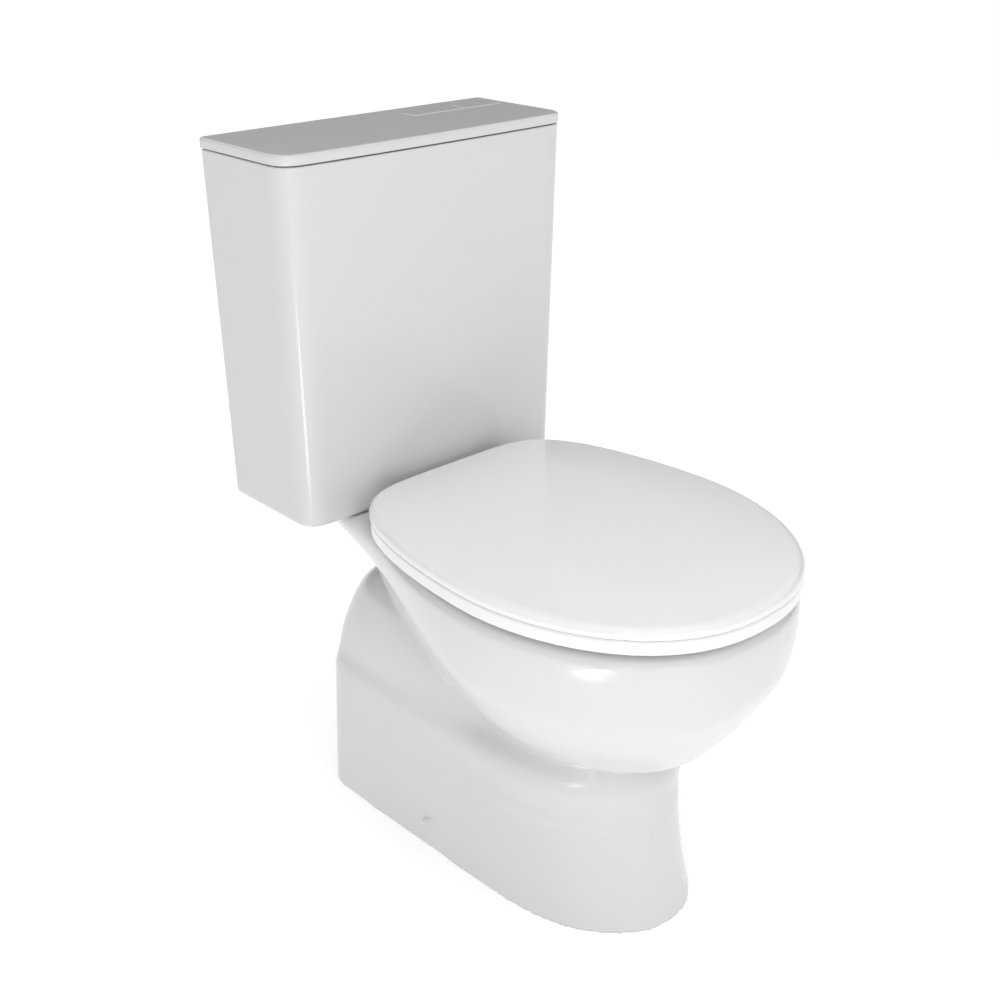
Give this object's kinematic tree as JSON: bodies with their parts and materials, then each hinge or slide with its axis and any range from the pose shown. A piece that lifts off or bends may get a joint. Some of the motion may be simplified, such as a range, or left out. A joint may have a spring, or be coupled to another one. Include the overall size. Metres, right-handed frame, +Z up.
{
  "type": "close coupled toilet",
  "caption": "Floor-standing close coupled toilet: oval covered seat on a bowl pan, with a tapered rectangular dual-flush cistern on its rear deck.",
  "frame": {"origin": "middle of the bounding box at floor level", "axes": "+Z up, -Y towards the front of the seat, +Y towards the wall, +X to the left of someone sitting on the toilet"},
  "size_m": [0.3876, 0.6142, 0.8044],
  "materials": {
    "china": "glossy white glazed vitreous china",
    "cistern_plastic": "glossy white moulded plastic",
    "seat_plastic": "glossy white moulded plastic",
    "button_plastic": "glossy white moulded plastic",
    "valve_white": "satin white moulded plastic",
    "valve_blue": "satin blue moulded plastic",
    "valve_grey": "satin grey moulded plastic",
    "rubber": "matt black rubber",
    "pad": "soft white rubber",
    "steel": "stainless steel",
    "zinc": "zinc plated steel",
    "brass": "bare brass"
  },
  "bodies": {
    "toilet": {"pan": "china", "cistern_tank": "cistern_plastic", "floor_brackets": "zinc", "side_screws": "valve_white", "cistern_bolts": "brass", "bolt_seals": "rubber", "bolt_washers": "rubber", "wing_nuts": "brass", "valve_base": "valve_white", "valve_backnut": "valve_grey", "coupling_washer": "rubber", "valve_cage": "valve_white", "lever_bridge": "valve_white", "lever_pins": "steel", "fill_valve": "valve_grey", "fill_washer": "rubber", "fill_backnut": "valve_white", "float_pin": "steel", "refill_tube": "valve_white", "hinge_posts": "seat_plastic", "hinge_pins": "steel", "hinge_studs": "steel", "hinge_plugs": "rubber"},
    "seat": {"seat_ring": "seat_plastic", "seat_buffers": "pad"},
    "cover": {"seat_cover": "seat_plastic", "cover_buffers": "pad"},
    "lid": {"cistern_lid": "cistern_plastic", "button_frame": "button_plastic", "full_spring": "steel", "half_spring": "steel"},
    "full_button": {"full_button": "button_plastic"},
    "half_button": {"half_button": "button_plastic"},
    "full_lever": {"full_lever": "valve_blue"},
    "half_lever": {"half_lever": "valve_grey"},
    "flush_tube": {"flush_tube": "valve_blue", "valve_seal": "rubber"},
    "half_collar": {"half_flush_collar": "valve_grey"},
    "float": {"float_cup": "valve_white"},
    "float_lever": {"float_lever": "valve_blue"}
  },
  "joints": [
    {"name": "seat_hinge", "type": "hinge", "parent": "toilet", "child": "seat", "pos_m": [0, 0.127, 0.426], "axis": [-1, 0, 0], "range_deg": [0, 92]},
    {"name": "cover_hinge", "type": "hinge", "parent": "seat", "child": "cover", "pos_m": [0, 0.127, 0.426], "axis": [1, 0, 0], "range_deg": [-92, 0]},
    {"name": "cistern_lid_lift", "type": "slide", "parent": "toilet", "child": "lid", "axis": [0, 0, 1], "range_m": [0, 0.15]},
    {"name": "full_button_press", "type": "slide", "parent": "lid", "child": "full_button", "axis": [0, 0, -1], "range_m": [0, 0.007], "stiffness_N_per_m": 500, "springref_m": -0.004, "deforming": ["full_spring"]},
    {"name": "half_button_press", "type": "slide", "parent": "lid", "child": "half_button", "axis": [0, 0, -1], "range_m": [0, 0.007], "stiffness_N_per_m": 500, "springref_m": -0.004, "deforming": ["half_spring"]},
    {"name": "full_lever_pivot", "type": "hinge", "parent": "toilet", "child": "full_lever", "pos_m": [0.065, 0.272, 0.7475], "axis": [0, 1, 0], "range_deg": [0, 14.86]},
    {"name": "half_lever_pivot", "type": "hinge", "parent": "toilet", "child": "half_lever", "pos_m": [0.1, 0.2595, 0.7155], "axis": [0, 1, 0], "range_deg": [0, 7.72]},
    {"name": "flush_tube_lift", "type": "slide", "parent": "toilet", "child": "flush_tube", "axis": [0, 0, 1], "range_m": [0, 0.0141]},
    {"name": "half_collar_lift", "type": "slide", "parent": "toilet", "child": "half_collar", "axis": [0, 0, 1], "range_m": [0, 0.0113]},
    {"name": "float_rise", "type": "slide", "parent": "toilet", "child": "float", "axis": [0, 0, 1], "range_m": [0, 0.012]},
    {"name": "float_lever_pivot", "type": "hinge", "parent": "toilet", "child": "float_lever", "pos_m": [0.128, 0.239, 0.716], "axis": [0, 1, 0], "range_deg": [-18.7, 0]}
  ],
  "couplings": [
    {"joint": "full_lever_pivot", "follows": "full_button_press", "rad_per_m": 37.037},
    {"joint": "flush_tube_lift", "follows": "full_button_press", "ratio": 2},
    {"joint": "half_lever_pivot", "follows": "half_button_press", "rad_per_m": 19.231},
    {"joint": "half_collar_lift", "follows": "half_button_press", "ratio": 1.6},
    {"joint": "float_lever_pivot", "follows": "float_rise", "rad_per_m": -27.027}
  ]
}
